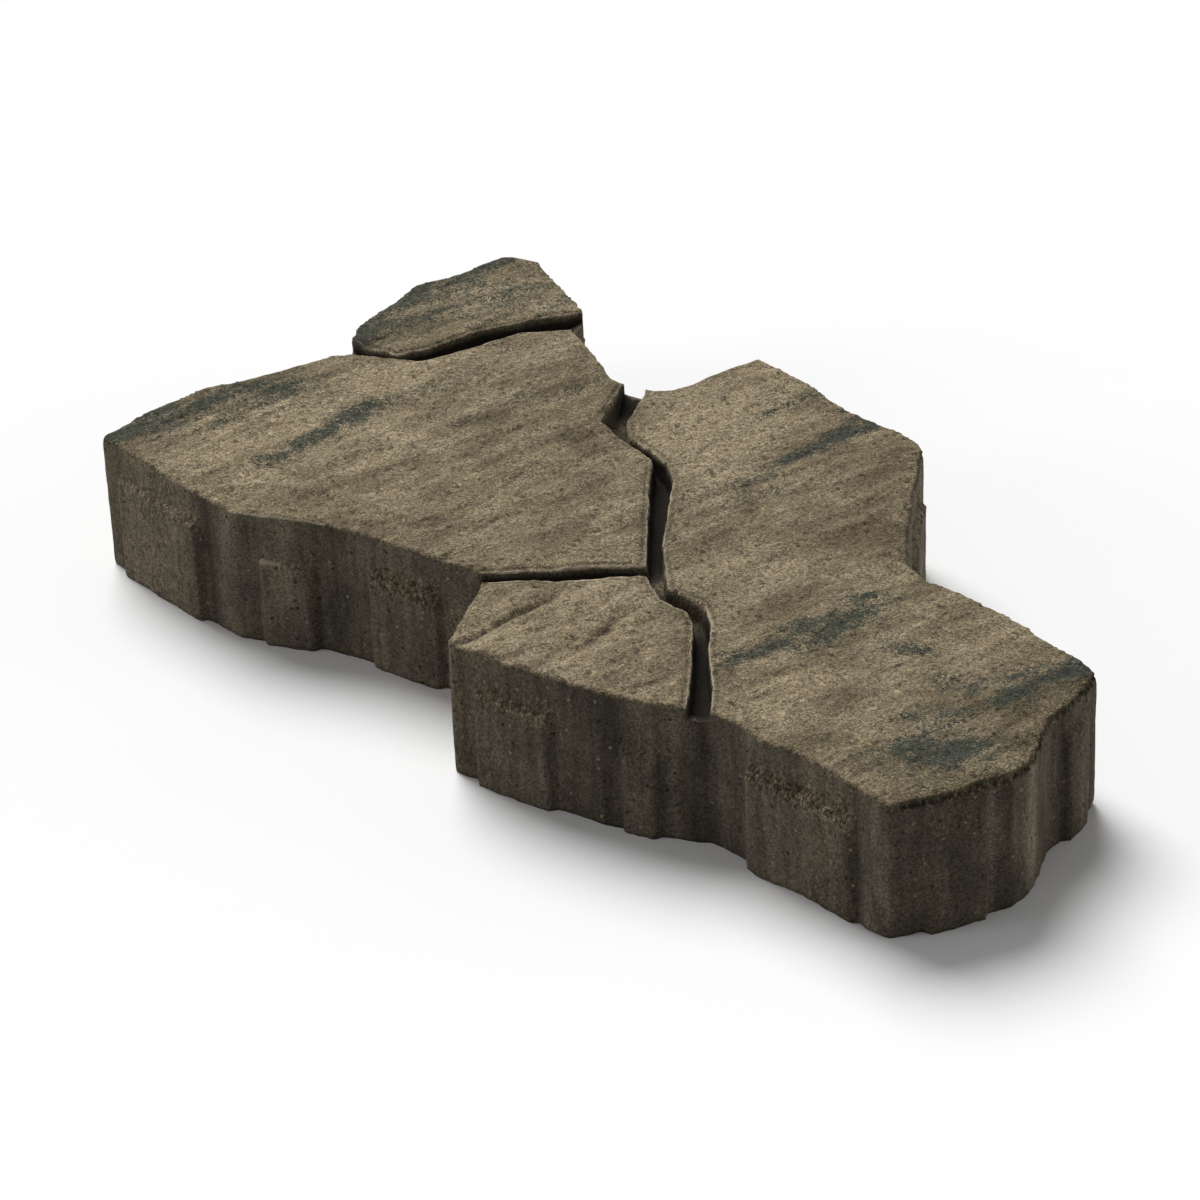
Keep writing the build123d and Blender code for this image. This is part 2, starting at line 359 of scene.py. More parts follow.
def left_normals(points, closed):
    """Unit normals on the left of a path: outwards on a clockwise loop."""
    if closed:
        along = np.roll(points, -1, axis=0) - np.roll(points, 1, axis=0)
    else:
        along = np.gradient(points, axis=0)
    along /= np.hypot(*along.T)[:, None]
    return np.stack([-along[:, 1], along[:, 0]], axis=1)


def stroke_distance(places, path):
    """Distance from each place to a run of lines, its side (1 on the left), and a value carried along.

    The value is the path's third column, such as a depth, blended between the path's points.
    """
    path = np.array(path, float)
    best = np.full(len(places), 1e9)
    side = np.zeros(len(places))
    carried = np.zeros(len(places))
    for start, end in zip(path[:-1], path[1:]):
        line = end[:2] - start[:2]
        offset = places - start[:2]
        share = np.clip(offset @ line / (line @ line), 0, 1)
        length = np.hypot(*(offset - share[:, None] * line).T)
        nearer = length < best
        best = np.where(nearer, length, best)
        side = np.where(nearer, np.sign(line[0] * offset[:, 1] - line[1] * offset[:, 0]), side)
        if path.shape[1] > 2:
            carried = np.where(nearer, start[2] + share * (end[2] - start[2]), carried)
    return best, side, carried


def grid_inside(low, high, step):
    """A triangular grid of points over a rectangle."""
    rows = np.arange(low[1], high[1], step * ROW_SHARE)
    columns = np.arange(low[0], high[0], step)
    x, y = np.meshgrid(columns, rows)
    x = x + (np.arange(len(rows)) % 2)[:, None] * step / 2
    return np.stack([x.ravel(), y.ravel()], axis=1)


def inside_loop(places, loop):
    """True where a place lies inside a closed loop, by counting crossings of its sides."""
    inside = np.zeros(len(places), bool)
    for start, end in zip(loop, np.roll(loop, -1, axis=0)):
        crosses = (start[1] > places[:, 1]) != (end[1] > places[:, 1])
        rise = end[1] - start[1]
        x = start[0] + (places[:, 1] - start[1]) * (end[0] - start[0]) / (rise if rise else 1e-9)
        inside ^= crosses & (places[:, 0] < x)
    return inside


def nearest_gap(places, loop):
    """Distance from each place to the nearest point of a loop."""
    gaps = np.empty(len(places))
    for first in range(0, len(places), BATCH):
        part = places[first:first + BATCH]
        gaps[first:first + BATCH] = np.sqrt(((part[:, None] - loop[None]) ** 2).sum(-1).min(1))
    return gaps


def filled(loop, step, margin, rings=(), extra=None):
    """Fill a loop with triangles: its own points, inner rings at given gaps, extra points and a grid."""
    inner = []
    normals = left_normals(loop, True)
    taken = margin
    for gap in rings:
        ring = loop - normals * gap
        good = inside_loop(ring, loop) & (nearest_gap(ring, loop) > gap * 0.93)
        inner.append(ring[good])
        taken = gap + margin
    grid = grid_inside(loop.min(axis=0), loop.max(axis=0), step)
    grid = grid[inside_loop(grid, loop)]
    grid = grid[nearest_gap(grid, loop) > taken]
    if extra is not None and len(extra):
        extra = extra[inside_loop(extra, loop)]
        extra = extra[nearest_gap(extra, loop) > taken]
        if len(extra):
            grid = grid[nearest_gap(grid, extra) > step * 0.6]
            inner.append(extra)
    inner.append(grid)
    places = np.concatenate([loop] + inner)
    edges = [(i, (i + 1) % len(loop)) for i in range(len(loop))]
    points, _, faces, origins, _, _ = delaunay_2d_cdt([Vector(p) for p in places], edges, [], 1, 1e-6)
    source = np.array([min(group) if group else -1 for group in origins])
    if len(points) != len(places) or (source < 0).any():
        raise ValueError("the fill changed its points: the loop crosses itself")
    triangles = source[np.array(faces)]
    return places[len(loop):], triangles


class Skin:
    """Gathers vertices with their attributes, and faces, for one mesh."""

    def __init__(self):
        self.places = []
        self.marks = []
        self.faces = []
        self.count = 0

    def add(self, places, **marks):
        """Add vertices in millimetres with their marks, 0 where none is given; return their numbers."""
        size = len(places)
        self.places.append(np.asarray(places, float))
        self.marks.append([np.broadcast_to(marks.get(name, 0.0), size).astype(float) for name in MARKS])
        self.count += size
        return np.arange(self.count - size, self.count)

    def quads(self, table):
        """Join a table of vertex numbers with four-sided faces; -1 marks a place with no vertex."""
        a, b, c, d = table[:-1, :-1], table[1:, :-1], table[1:, 1:], table[:-1, 1:]
        good = (a >= 0) & (b >= 0) & (c >= 0) & (d >= 0)
        self.faces.append(np.stack([a[good], b[good], c[good], d[good]], axis=1))


def panel_marks(outline):
    """For each outline point: 1 on a panel and 0 off it, the panel's top depth and its crumbliness."""
    share = np.zeros(len(outline))
    top = np.full(len(outline), PLAIN_TOP)
    crumbly = np.zeros(len(outline))
    steps = np.hypot(*(np.roll(outline, -1, axis=0) - outline).T)
    along = np.concatenate([[0], np.cumsum(steps)[:-1]])
    whole = steps.sum()
    for middle, length, depth, rough in PANELS:
        centre = along[np.argmin(np.hypot(*(outline - middle).T))]
        gap = np.abs((along - centre + whole / 2) % whole - whole / 2)
        here = 1 - smoothstep(length / 2 - 1.8, length / 2 + 0.6, gap)
        top = np.where(here > share, depth, top)
        crumbly = np.where(here > share, rough, crumbly)
        share = np.maximum(share, here)
    return share, top, crumbly


def flat_places(places):
    """Add a third column of zeros to plan points."""
    return np.column_stack([places, np.zeros(len(places))])


def along_grain(places, stretch, angle=GRAIN_ANGLE):
    """Plan points in a frame turned to the riven grain and drawn out along it."""
    turn = radians(angle)
    along = places[:, 0] * cos(turn) + places[:, 1] * sin(turn)
    across = places[:, 1] * cos(turn) - places[:, 0] * sin(turn)
    return flat_places(np.column_stack([along / stretch, across]))


def worn_share(places, reach=3.2):
    """1 along the most worn stretches of the face's edge, falling to 0 at about the reach inside."""
    shares = [worn * np.exp(-(stroke_distance(places, path)[0] / reach) ** 1.6) for path, worn in WORN_EDGES]
    return np.max(shares, axis=0)


def torn_places(places):
    """Plan points shifted by small noise, so that lines drawn on them look torn."""
    flat = flat_places(places)
    shift = [1.5 * noise(flat, 9, seed) + 0.7 * noise(flat, 3, seed + 1) for seed in (141, 151)]
    return places + np.stack(shift, axis=1)


def face_relief(places):
    """Height of the riven face above its mean plane, in millimetres.

    Broad hollows, ripples drawn out along the grain, fine roughness, ridges, lopsided
    clefts, and the fall towards the worn edge.
    """
    flat = flat_places(places)
    height = 0.6 * noise(flat, 70, 11) + 0.4 * noise(flat, 28, 13)
    height += 0.46 * layered(along_grain(places, 2.6), 12, 21, 3, 0.55)
    height += 0.16 * layered(along_grain(places, 1.5), 4.0, 31, 2, 0.6)
    steps = noise(along_grain(places, 4.0), 18, 35)
    height += 0.5 * (smoothstep(0.0, 0.10, steps) - smoothstep(0.10, 0.9, steps))
    on_corner = CORNER_RELIEF * np.exp(-(np.hypot(*(places - CORNER_MIDDLE).T) / CORNER_REACH) ** 6)
    height += on_corner * layered(along_grain(places, 2.6, CORNER_GRAIN_ANGLE), 9, 131, 3, 0.6)
    torn = torn_places(places)
    for path, top, width in RIDGES:
        height += top * np.exp(-(stroke_distance(torn, path)[0] / width) ** 2)
    for path, steep, gentle in CLEFTS:
        gap, side, depth = stroke_distance(torn, path)
        height -= depth * np.clip(1 - gap / np.where(side > 0, steep, gentle), 0, 1)
    return height + FACE_RISE - WORN_FALL * worn_share(places, 4.2)


def streak_marks(places):
    """Slate and tone of the face's colour at plan points, with edges torn along the grain."""
    torn = layered(along_grain(places, 3.5), 11, 101, 4, 0.7)
    shift = 0.55 * layered(along_grain(places, 2.2), 8, 105, 3, 0.7)
    slate = np.zeros(len(places))
    halo = np.zeros(len(places))
    for path, width, strength in STREAKS:
        gap = np.maximum(stroke_distance(places, path)[0] / width + shift, 0)
        slate = np.maximum(slate, strength * np.exp(-gap ** 2))
        halo = np.maximum(halo, strength * np.exp(-(gap / 1.8) ** 2))
    slate = np.clip(slate * (1.0 + 0.7 * torn) + 0.2 * torn, 0, 1)
    tone = 0.12 * noise(flat_places(places), 45, 111) + 0.16 * layered(along_grain(places, 4.0), 14, 115, 3)
    tone -= 0.16 * halo
    for path, width, change in TONES:
        tone += change * np.exp(-(stroke_distance(places, path)[0] / width) ** 2)
    return slate, tone


def floor_depth_at(inside):
    """Depth of a joint's floor at a distance inside its open end: the sill, a ramp, then level."""
    return SILL_DEPTH + (JOINT_DEPTH - SILL_DEPTH) * smoothstep(SILL_FLAT, SILL_LENGTH, inside)


def sandy_share(places):
    """1 where brown sand lies in the joints, and 0 away from it."""
    shares = [np.exp(-(np.hypot(*(places - spot).T) / width) ** 2) for spot, width in SANDY_SPOTS]
    return np.max(shares, axis=0)


def cleft_shade(places):
    """Painted shade along the foot of each cleft's steep side, from 0 to 1."""
    shade = np.zeros(len(places))
    torn = torn_places(places)
    for path, steep, _ in CLEFTS:
        gap, side, depth = stroke_distance(torn, path)
        away = np.where(side > 0, gap / steep, gap / 1.2)
        shade = np.maximum(shade, np.clip(0.75 - 0.7 * away, 0, 1) * np.clip(depth * 0.6, 0, 1))
    return shade


def cleft_points():
    """Plan points in rows along every cleft, so that the mesh is finer there."""
    points = []
    for path, _, _ in CLEFTS:
        run = resampled([place[:2] for place in path], 1.0)
        points += [run + left_normals(run, False) * offset for offset in (-2.0, -1.0, 0.0, 1.0, 2.0)]
    return np.concatenate(points)


def wall_offset(plan, down, share, top, crumbly, worn):
    """How far the outer wall stands out from the outline at a depth below the face, in millimetres.

    Spacer panels with crumbling shoulders, drag marks left by the mould, the worn arris and
    the crumbled edge of the base.
    """
    base = np.column_stack([plan, FACE_HEIGHT - down])
    crumb = layered(base, 6, 51, 3)
    ragged = down + 1.6 * crumb * (0.3 + crumbly)
    shoulder = smoothstep(top - PANEL_SHOULDER / 2, top + PANEL_SHOULDER / 2, ragged)
    rough = share * crumbly * np.exp(-((down - top - 1) / 5.0) ** 2)
    out = PANEL_PROUD * share * shoulder
    out += rough * 1.1 * layered(base, 3.2, 56, 2)
    out += 0.14 * layered(base * (1, 1, 0.12), 3.4, 61, 2) + 0.32 * noise(base * (1, 1, 0.3), 14, 66)
    out += 0.16 * noise(base, 5, 68)
    out -= 0.4 * np.exp(-np.maximum(down - ARRIS_DROP, 0) / 0.9) * (0.8 + 0.8 * noise(base, 2.8, 71))
    out -= 0.5 * np.exp((down - FACE_HEIGHT) / 1.0) * (0.7 + 0.9 * noise(base, 5, 76))
    edge = np.exp(-((down - 1.5) / 1.8) ** 2)
    out -= worn * edge * (1.2 + 1.3 * noise(base, 2.6, 79))
    return out, rough + worn * np.exp(-((down - 2.2) / 1.9) ** 2)


def build_skin():
    """Work out the whole unit as one closed skin.

    The walls are a profile carried along the outline: each outline point has a column of
    vertices from the arris to the base. Joint walls are a shorter profile carried along the
    joint edges. Stone faces, joint floors and the base are filled loops.
    """
    skin = Skin()
    spans = []
    columns = []
    start = 0
    for _, points in OUTLINE_SPANS:
        run = resampled(points, PATH_STEP if len(points) > 2 else 1.3)
        spans.append((start, start + len(run) - 1))
        columns.append(run[:-1])
        start += len(run) - 1
    outline = softened(np.concatenate(columns), 1, True)
    total = len(outline)
    outward = left_normals(outline, True)
    flat = flat_places(outline)
    outline = outline + outward * (0.40 * layered(flat, 16, 41, 3) + 0.2 * noise(flat, 3.5, 46))[:, None]
    outward = left_normals(softened(outline, 2, True), True)

    rows = BAND_ROWS + WALL_ROWS + 1
    band = ARRIS_DROP + (SILL_DEPTH - ARRIS_DROP) * np.arange(BAND_ROWS + 1) / BAND_ROWS
    wall = SILL_DEPTH + (FACE_HEIGHT - SILL_DEPTH) * np.arange(1, WALL_ROWS + 1) / WALL_ROWS
    depth = np.concatenate([band, wall])
    on_stone = np.ones(total, bool)
    for (stone, _), (first, last) in zip(OUTLINE_SPANS, spans):
        if stone is None:
            on_stone[np.arange(first + 1, last) % total] = False

    share, top, crumbly = panel_marks(outline)
    worn = worn_share(outline)
    slate, tone = streak_marks(outline)
    column, row = np.meshgrid(np.arange(total), np.arange(rows), indexing="ij")
    column, row = column.ravel(), row.ravel()
    used = on_stone[column] | (row >= BAND_ROWS)
    column, row = column[used], row[used]
    down = depth[row]
    plan = outline[column]
    out, rough = wall_offset(plan, down, share[column], top[column], crumbly[column], worn[column])
    crumble = np.full(total, 0.15)
    for path in CRUMBLY_ARRISES:
        crumble = np.maximum(crumble, 1 - smoothstep(0.5, 3.0, stroke_distance(outline, path)[0]))
    beads = hashed(np.stack([np.arange(total), np.zeros(total), np.zeros(total)], axis=1), 83) * 2 - 1
    out += (0.65 * crumble * beads)[column] * np.exp(-down / 1.8)
    place = plan + outward[column] * out[:, None]
    fade = np.clip(1 - down / FACE_FADE, 0, 1)
    height = FACE_HEIGHT - down + face_relief(plan) * fade
    height -= 0.25 * np.abs(noise(np.column_stack([plan, down]), 3.5, 81)) * np.exp(-down / 1.5)
    height += (0.45 * crumble * beads)[column] * np.exp(-down / 1.2)
    height = np.where(row == rows - 1, 0.0, height)
    spots = np.column_stack([plan, down])
    # The lip mark: above zero pale burrs and painted highlights, below zero painted shade
    lip = np.zeros(len(down))
    # Painted highlights: the lip mark is raised where a wall's edge or ledge would catch the light
    for spot, width, high, low, strength in PAINTED_EDGE_HIGHLIGHTS:
        near = np.hypot(*(plan - spot).T) < width
        broken = strength * (0.7 + 0.6 * noise(spots, 6, 85))
        lip = np.where(near & (down > high) & (down < low), broken, lip)
    # Painted highlight: the lip mark is raised along these arrises so that they show pale
    arris_highlight = 1 - smoothstep(1.0, 3.0, stroke_distance(plan, PAINTED_ARRIS_HIGHLIGHT)[0])
    lip = np.maximum(lip, np.where(row == 0, arris_highlight * (1.3 + 0.8 * noise(spots, 8, 87)), 0))
    # Painted shade: a dark band just below the worn edge of the face
    worn_edge_shade = worn[column] * np.exp(-((down - 2.6) / 1.5) ** 2) * (0.45 + 0.9 * noise(spots, 3.0, 88))
    lip -= np.clip(worn_edge_shade, 0, 1)
    # Painted light and shade of the walls, carried by the shade mark
    shade = np.zeros(total)
    for spot, width, change in WALL_PAINTED_LIGHT:
        shade += change * np.exp(-(np.hypot(*(outline - spot).T) / width) ** 2)
    for spot, width, strength in GRITTY_WALLS:
        near = np.exp(-(np.hypot(*(plan - spot).T) / width) ** 2)
        rough = np.maximum(rough, strength * near * (0.8 + 0.8 * layered(spots, 12, 89, 3, 0.7)))
    numbers = skin.add(
        np.column_stack([place, height]),
        face=np.exp(-np.maximum(down - ARRIS_DROP, 0) / 0.7), rough=np.clip(rough, 0, 1), lip=lip,
        slate=slate[column] * fade, tone=tone[column] * fade, shade=shade[column],
    )
    table = np.full((total, rows), -1)
    table[column, row] = numbers
    skin.quads(np.concatenate([table, table[:1]]))

    joints = {}
    for name, (points, start_span, end_span) in JOINT_EDGES.items():
        first, last = spans[start_span][0] % total, spans[end_span][1] % total
        run = softened(resampled(points, PATH_STEP), 1, False)
        run[0], run[-1] = outline[first], outline[last]
        outwards = left_normals(run, False)
        ends = np.minimum(np.arange(len(run)), np.arange(len(run))[::-1]) * PATH_STEP
        flat = flat_places(run)
        wobble = (0.35 * layered(flat, 9, 91, 3) + 0.25 * noise(flat, 3.2, 93)) * smoothstep(0, 4, ends)
        run = run + outwards * wobble[:, None]
        floor_depth = floor_depth_at(ends)
        share_down = np.arange(BAND_ROWS + 1) / BAND_ROWS
        down = (ARRIS_DROP + (floor_depth[1:-1, None] - ARRIS_DROP) * share_down[None]).ravel()
        plan = np.repeat(run[1:-1], BAND_ROWS + 1, axis=0)
        base = np.column_stack([plan, FACE_HEIGHT - down])
        out = JOINT_DRAFT * (down - ARRIS_DROP) / (JOINT_DEPTH - ARRIS_DROP) + 0.3 * layered(base, 4, 96, 2)
        out -= 0.35 * np.exp(-(down - ARRIS_DROP) / 0.8)
        place = plan + np.repeat(outwards[1:-1], BAND_ROWS + 1, axis=0) * out[:, None]
        fade = np.clip(1 - down / FACE_FADE, 0, 1)
        slate, tone = streak_marks(plan)
        at_top = np.tile(share_down == 0, len(run) - 2)
        height = FACE_HEIGHT - down + face_relief(plan) * fade + 0.1 * at_top
        # Pale burr along the joints' arris: a raised burr in the mesh, with its pale colour a painted
        # highlight, weaker towards the back and on sand
        burr_highlight = 0.95 + 0.7 * noise(base, 9, 98) + 0.7 * noise(base, 2.5, 99)
        burr_highlight *= (1 - 0.5 * smoothstep(-10, 40, plan[:, 1])) * (1 - 0.5 * sandy_share(plan))
        # Painted shade: the joint walls turn to the joint colour with depth, less on sand
        numbers = skin.add(
            np.column_stack([place, height]),
            face=np.exp(-np.maximum(down - ARRIS_DROP, 0) / 0.9),
            joint=smoothstep(0.8, 4.2, down) * (1 - 0.95 * sandy_share(plan)),
            rough=0.4 * np.exp(-down / 4) + 0.3 * sandy_share(plan), lip=at_top * burr_highlight,
            slate=slate * fade, tone=tone * fade,
        ).reshape(-1, BAND_ROWS + 1)
        posts = [table[post:post + 1, :BAND_ROWS + 1] for post in (first, last)]
        numbers = np.concatenate([posts[0], numbers, posts[1]])
        skin.quads(numbers)
        joints[name] = (run, numbers)

    def loop_of(parts, row_number):
        """Plan points and vertex numbers of a loop made of outline spans and joint edges."""
        places, numbers = [], []
        for part in parts:
            if isinstance(part, int):
                first, last = spans[part]
                run = np.arange(first, last + 1) % total
                piece, ids = outline[run], table[run, row_number]
            else:
                piece, ids = joints[part.lstrip("-")]
                ids = ids[:, row_number]
                if part.startswith("-"):
                    piece, ids = piece[::-1], ids[::-1]
            places.append(piece[:-1])
            numbers.append(ids[:-1])
        return np.concatenate(places), np.concatenate(numbers)

    joint_run = np.concatenate([run for run, _ in joints.values()])
    folds = cleft_points()
    for parts in STONES.values():
        loop, numbers = loop_of(parts, 0)
        inner, triangles = filled(loop, CAP_STEP, 0.9, (1.0, 2.0), folds)
        from_joint = nearest_gap(inner, joint_run)
        from_wall = nearest_gap(inner, outline)
        slate, tone = streak_marks(inner)
        height = FACE_HEIGHT + face_relief(inner) - ARRIS_DROP * np.exp(-from_wall / 0.9)
        height -= 0.9 * np.exp(-(np.maximum(from_joint - 1.0, 0) / 1.4) ** 2)
        height += 0.10 * noise(flat_places(inner), 2.2, 86)
        # Painted shade: a dark strip just inside each joint's arris where the face rolls down, and along the
        # clefts' steep sides
        shaded = 0.5 * np.exp(-((from_joint - 1.9) / 0.7) ** 2) + cleft_shade(inner)
        ids = skin.add(
            np.column_stack([inner, height]),
            face=1.0, lip=-np.clip(shaded, 0, 1), slate=slate, tone=tone,
        )
        skin.faces.append(np.concatenate([numbers, ids])[triangles])

    open_ends = outline[~on_stone]
    for parts in FLOORS.values():
        loop, numbers = loop_of(parts, BAND_ROWS)
        inner, triangles = filled(loop, FLOOR_STEP, 1.2)
        down = floor_depth_at(nearest_gap(inner, open_ends))
        height = FACE_HEIGHT - down + 0.3 * noise(flat_places(inner), 6, 121)
        # Painted shade: the joints' floors take the near-black joint colour, less where sand lies
        ids = skin.add(
            np.column_stack([inner, height]),
            joint=1 - 0.75 * sandy_share(inner), rough=0.8 * sandy_share(inner),
        )
        skin.faces.append(np.concatenate([numbers, ids])[triangles])

    inner, triangles = filled(outline, BASE_STEP, 3.0)
    ids = skin.add(flat_places(inner))
    skin.faces.append(np.concatenate([table[:, -1], ids])[triangles[:, ::-1]])
    return skin


def mesh_from(skin, name):
    """Put a skin's vertices, faces and marks into a mesh object at the origin."""
    mesh = bpy.data.meshes.new(name)
    places = np.concatenate(skin.places) * MM
    faces = [face.tolist() for group in skin.faces for face in group]
    mesh.from_pydata(places.tolist(), [], faces)
    for mark, values in zip(MARKS, zip(*skin.marks)):
        layer = mesh.attributes.new(mark, "FLOAT", "POINT")
        layer.data.foreach_set("value", np.concatenate(values))
    mesh.polygons.foreach_set("use_smooth", np.ones(len(mesh.polygons), bool))
    mesh.validate()
    piece = bpy.data.objects.new(name, mesh)
    bpy.context.scene.collection.objects.link(piece)
    return piece


class NodeBoard:
    """Short calls for adding and linking shader nodes."""

    def __init__(self, material):
        material.use_nodes = True
        self.tree = material.node_tree
        self.tree.nodes.clear()

    def add(self, kind, settings=None, **inputs):
        """Add a node, set its properties and its inputs by name; an input may be another socket."""
        node = self.tree.nodes.new(kind)
        for key, value in (settings or {}).items():
            setattr(node, key, value)
        for key, value in inputs.items():
            numbered = key[0] == "i" and key[1:].isdigit()
            self.feed(node.inputs[int(key[1:]) if numbered else key.replace("_", " ")], value)
        return node

    def feed(self, socket, value):
        """Link a socket to an input, or set the input to a value."""
        if isinstance(value, bpy.types.NodeSocket):
            self.tree.links.new(value, socket)
        else:
            socket.default_value = value

    def mark(self, name):
        """Read one of the mesh's own marks."""
        return self.add("ShaderNodeAttribute", {"attribute_name": name}).outputs["Fac"]

    def math(self, operation, a, b=0.0):
        """Two-input arithmetic."""
        return self.add("ShaderNodeMath", {"operation": operation}, i0=a, i1=b).outputs[0]

    def mix(self, share, a, b, blend="MIX"):
        """Mix two colours."""
        node = self.add("ShaderNodeMix", {"data_type": "RGBA", "blend_type": blend})
        for number, value in ((0, share), (6, a), (7, b)):
            self.feed(node.inputs[number], value)
        return node.outputs[2]

    def times(self, first, *others):
        """Multiply values one after another."""
        for other in others:
            first = self.math("MULTIPLY", first, other)
        return first

    def plus(self, first, *others):
        """Add values one after another."""
        for other in others:
            first = self.math("ADD", first, other)
        return first

    def less(self, first, *others):
        """Take values away one after another."""
        for other in others:
            first = self.math("SUBTRACT", first, other)
        return first

    def grey(self, value):
        """Turn a value into a grey colour."""
        return self.add("ShaderNodeCombineColor", i0=value, i1=value, i2=value).outputs[0]

    def ramp(self, value, low, high, to_low=0.0, to_high=1.0):
        """Map a range of one value to another, held at the ends."""
        return self.add("ShaderNodeMapRange", i0=value, i1=low, i2=high, i3=to_low, i4=to_high).outputs[0]

    def cloud(self, places, scale, **settings):
        """Noise of a scale at given places, about 0.3 to 0.7."""
        return self.add("ShaderNodeTexNoise", Vector=places, Scale=scale, **settings).outputs["Fac"]

    def seen_straight(self):
        """1 for rays from the camera and for those that glossy or clear things pass on."""
        path = self.add("ShaderNodeLightPath").outputs
        seen = self.math("MAXIMUM", path["Is Camera Ray"], path["Is Glossy Ray"])
        return self.math("MAXIMUM", seen, path["Is Transmission Ray"])


def concrete_material(looks):
    """Dry-cast concrete: sandy tan face with slate streaks, and darker walls dragged by the mould."""
    material = bpy.data.materials.new("riven_concrete")
    board = NodeBoard(material)
    here = board.add("ShaderNodeTexCoord").outputs["Object"]
    face, joint, rough, lip = (board.mark(name) for name in ("face", "joint", "rough", "lip"))
    # band is the walls' painted light and shade, from the shade mark
    slate, tone, band = (board.mark(name) for name in ("slate", "tone", "shade"))

    # Sand: one random value for each grain, and a finer dust between the grains
    sand = board.add("ShaderNodeTexVoronoi", Vector=here, Scale=1350.0)
    pick = board.add("ShaderNodeSeparateColor", i0=sand.outputs["Color"])
    coarse = board.add("ShaderNodeTexVoronoi", Vector=here, Scale=520.0)
    coarse_pick = board.add("ShaderNodeSeparateColor", i0=coarse.outputs["Color"])
    dust = board.cloud(here, 2400.0, Detail=2.0)
    clumps = board.cloud(here, 260.0, Detail=3.0)
    broad = board.cloud(here, 45.0, Detail=5.0, Roughness=0.6)

    # Patterns drawn out along the riven grain of the face, and down the walls
    turned = board.add("ShaderNodeMapping", Vector=here, Rotation=(0, 0, -radians(GRAIN_ANGLE)))
    drawn = board.add("ShaderNodeMapping", Vector=turned.outputs[0], Scale=(0.3, 1, 1))
    veins = board.cloud(drawn.outputs[0], 110.0, Detail=4.0)
    short = board.add("ShaderNodeMapping", Vector=turned.outputs[0], Scale=(0.45, 1, 1))
    ripples = board.cloud(short.outputs[0], 280.0, Detail=4.0, Roughness=0.65)
    drops = board.add("ShaderNodeMapping", Vector=here, Scale=(1, 1, 0.1))
    drag = board.cloud(drops.outputs[0], 300.0, Detail=4.0)
    wide_drag = board.cloud(drops.outputs[0], 60.0, Detail=2.0)

    # Face: tan between light and dark by area, then slate, then the sand's own spread, with painted shading
    # that follows the ripples of the relief
    areas = board.ramp(broad, 0.3, 0.7, -0.25, 0.25)
    level = board.plus(areas, board.ramp(veins, 0.3, 0.7, -0.3, 0.3), 0.5, tone)
    tan = board.mix(board.ramp(level, 0.0, 1.0), (*looks.face_dark, 1), (*looks.face_light, 1))
    frayed = board.ramp(clumps, 0.3, 0.7, -0.16, 0.16)
    edge = board.plus(slate, frayed, board.ramp(pick.outputs[1], 0.0, 1.0, -0.52, 0.4))
    tan = board.mix(board.ramp(edge, 0.08, 0.82, 0.0, 0.97), tan, (*looks.slate, 1))
    grain = board.times(
        board.ramp(pick.outputs[0], 0.0, 1.0, 0.54, 1.48),
        board.ramp(dust, 0.3, 0.7, 0.72, 1.28),
        # Painted shading: lighter on the ripples' crests, darker in their troughs
        board.ramp(ripples, 0.3, 0.7, 0.84, 1.18),
    )
    grain = board.plus(grain, board.ramp(coarse_pick.outputs[0], 0.95, 0.98, 0.0, 0.45))
    grain = board.times(grain, board.ramp(coarse_pick.outputs[1], 0.92, 0.96, 1.0, 0.55))
    sandy = board.mix(1.0, tan, board.grey(grain), "MULTIPLY")

    # Wall: cement skin with upright drag marks and painted light and shade in upright bands, pale aggregate
    # specks, and pits painted dark for the shade in them
    wall = board.mix(board.ramp(broad, 0.35, 0.65), (*looks.wall_dark, 1), (*looks.wall_light, 1))
    # Drag marks, grain and dust, times the painted light and shade of the walls' bands
    shade = board.times(
        board.ramp(drag, 0.3, 0.7, 0.76, 1.24),
        board.ramp(wide_drag, 0.35, 0.65, 0.88, 1.12),
        board.ramp(pick.outputs[0], 0.0, 1.0, 0.6, 1.4),
        board.ramp(dust, 0.3, 0.7, 0.75, 1.25),
        board.plus(band, 1.0),
    )
    wall = board.mix(1.0, wall, board.grey(shade), "MULTIPLY")
    bent = board.add("ShaderNodeTexNoise", Vector=here, Scale=500.0).outputs["Color"]
    bend = (BEND, BEND, BEND)
    bent = board.add("ShaderNodeVectorMath", {"operation": "MULTIPLY_ADD"}, i0=bent, i1=bend, i2=here)
    speck = board.add("ShaderNodeTexVoronoi", Vector=bent.outputs[0], Scale=260.0)
    chosen = board.add("ShaderNodeSeparateColor", i0=speck.outputs["Color"])
    small = board.ramp(speck.outputs["Distance"], 0.14, 0.22, 1.0, 0.0)
    pale = board.times(small, board.ramp(chosen.outputs[0], 0.56, 0.62))
    pit = board.times(small, board.ramp(chosen.outputs[1], 0.6, 0.64))
    wall = board.mix(board.times(pale, 0.85), wall, (*looks.speck, 1))
    # Painted shade: the pits are coloured near-black
    wall = board.mix(board.times(pit, 0.8), wall, PIT_SHADE_COLOUR)

